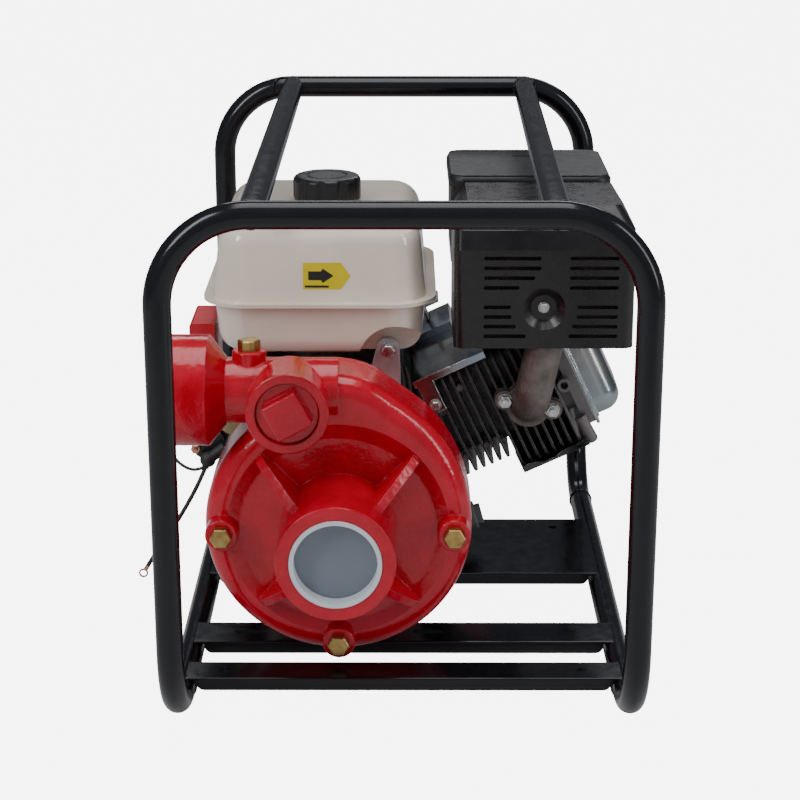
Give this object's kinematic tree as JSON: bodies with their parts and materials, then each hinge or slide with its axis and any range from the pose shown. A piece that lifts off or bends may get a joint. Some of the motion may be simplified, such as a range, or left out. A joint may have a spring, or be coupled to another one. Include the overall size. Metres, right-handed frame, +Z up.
{
  "type": "portable fire pump",
  "caption": "Engine-driven portable fire pump: red centrifugal pump, single-cylinder electric-start engine and fuel tank inside a black tubular roll frame.",
  "frame": {"origin": "on the floor, midway between the two hoops and the two bottom rails", "axes": "+X to the right seen from the pump's suction side, +Y from the pump towards the engine's starter side, +Z up"},
  "size_m": [0.5126, 0.725, 0.5145],
  "materials": {
    "frame_black": "gloss",
    "pump_red": "gloss",
    "brass_hardware": "dull",
    "bolt_steel": "plated",
    "pale_plastic": "matt",
    "engine_black": "satin",
    "cast_aluminium": "die-cast",
    "plated_sheet": "zinc plated",
    "cast_elbow": "rough",
    "guard_brown": "satin",
    "tank_cream": "gloss",
    "black_plastic": "grained",
    "grey_plastic": "matt",
    "red_plastic": "gloss",
    "chromate_yellow": "yellow chromate",
    "copper_tinned": "bright",
    "black_rubber": "matt",
    "forged_steel": "machined",
    "filter_foam": "matt"
  },
  "bodies": {
    "base": {"air_cleaner_lid": "black_plastic", "air_filter_element": "filter_foam", "battery_lead": "black_rubber", "bearings_and_seat": "bolt_steel", "blower_housing": "pump_red", "bottom_rails": "frame_black", "brass_plugs": "brass_hardware", "carburettor": "cast_aluminium", "connecting_rod": "cast_aluminium", "control_brackets": "plated_sheet", "cover_bolts": "bolt_steel", "crankcase_cover": "cast_aluminium", "cylinder_baffle": "black_rubber", "cylinder_block": "engine_black", "cylinder_head": "engine_black", "cylinder_shroud": "plated_sheet", "engine_bolts": "bolt_steel", "engine_plate": "frame_black", "exhaust_elbow": "cast_elbow", "front_crossbar": "frame_black", "front_hoop": "frame_black", "ignition_parts": "black_plastic", "intake_base": "black_plastic", "muffler": "plated_sheet", "muffler_guard": "guard_brown", "oil_caps": "grey_plastic", "piston": "cast_aluminium", "port_plug": "pump_red", "pump_bolts": "bolt_steel", "pump_bracket": "pump_red", "pump_casing": "pump_red", "rear_hoop": "frame_black", "recoil_cover": "pump_red", "ring_terminal": "copper_tinned", "slotted_crossbar": "frame_black", "solenoid_terminals": "copper_tinned", "starter_motor": "chromate_yellow", "starter_solenoid": "black_plastic", "switch_box": "red_plastic", "switch_lead": "black_rubber", "tank_bracket": "cast_aluminium", "tank_lower_shell": "tank_cream", "tank_upper_shell": "tank_cream", "terminal_boot": "black_rubber", "top_bars": "frame_black", "valve_cover": "engine_black"},
    "crank": {"crankshaft": "forged_steel", "impeller_and_seal": "cast_elbow", "shaft_nuts": "bolt_steel", "flywheel": "cast_elbow", "cooling_fan": "black_plastic", "starter_cup": "plated_sheet"},
    "cam": {"camshaft": "forged_steel"},
    "pulley": {"recoil_pulley": "black_plastic"},
    "handle": {"starter_handle": "black_plastic"},
    "fuel_lid": {"fuel_cap": "black_plastic"},
    "suction_lid": {"suction_cap": "pale_plastic"},
    "key": {"ignition_key": "plated_sheet"},
    "choke": {"choke_lever": "plated_sheet"},
    "throttle": {"throttle_lever": "plated_sheet"}
  },
  "joints": [
    {"name": "crank_spin", "type": "hinge", "parent": "base", "child": "crank", "pos_m": [-0.064, 0, 0.157], "axis": [0, 1, 0], "continuous": true},
    {"name": "cam_spin", "type": "hinge", "parent": "base", "child": "cam", "pos_m": [-0.03611, 0, 0.09718], "axis": [0, 1, 0], "continuous": true},
    {"name": "handle_pull", "type": "slide", "parent": "base", "child": "handle", "axis": [-0.2, 0, 0.9798], "range_m": [0, 0.6], "stiffness_N_per_m": 20},
    {"name": "pulley_spin", "type": "hinge", "parent": "base", "child": "pulley", "pos_m": [-0.064, 0.234, 0.157], "axis": [0, 1, 0], "range_deg": [0, 558]},
    {"name": "fuel_cap_lift", "type": "slide", "parent": "base", "child": "fuel_lid", "axis": [0, 0, 1], "range_m": [0, 0.04]},
    {"name": "suction_cap_pull", "type": "slide", "parent": "base", "child": "suction_lid", "axis": [0, -1, 0], "range_m": [0, 0.06]},
    {"name": "key_turn", "type": "hinge", "parent": "base", "child": "key", "pos_m": [-0.2145, 0.092, 0.282], "axis": [0, 1, 0], "range_deg": [0, 90]},
    {"name": "choke_swing", "type": "hinge", "parent": "base", "child": "choke", "pos_m": [0.1429, 0.158, 0.2586], "axis": [1, 0, 0], "range_deg": [0, 45]},
    {"name": "throttle_swing", "type": "hinge", "parent": "base", "child": "throttle", "pos_m": [0.01988, 0.172, 0.28472], "axis": [-0.4226, 0, 0.9063], "range_deg": [-25, 25]}
  ],
  "couplings": [
    {"joint": "cam_spin", "follows": "crank_spin", "ratio": -0.5},
    {"joint": "pulley_spin", "follows": "handle_pull", "rad_per_m": 16.129}
  ]
}
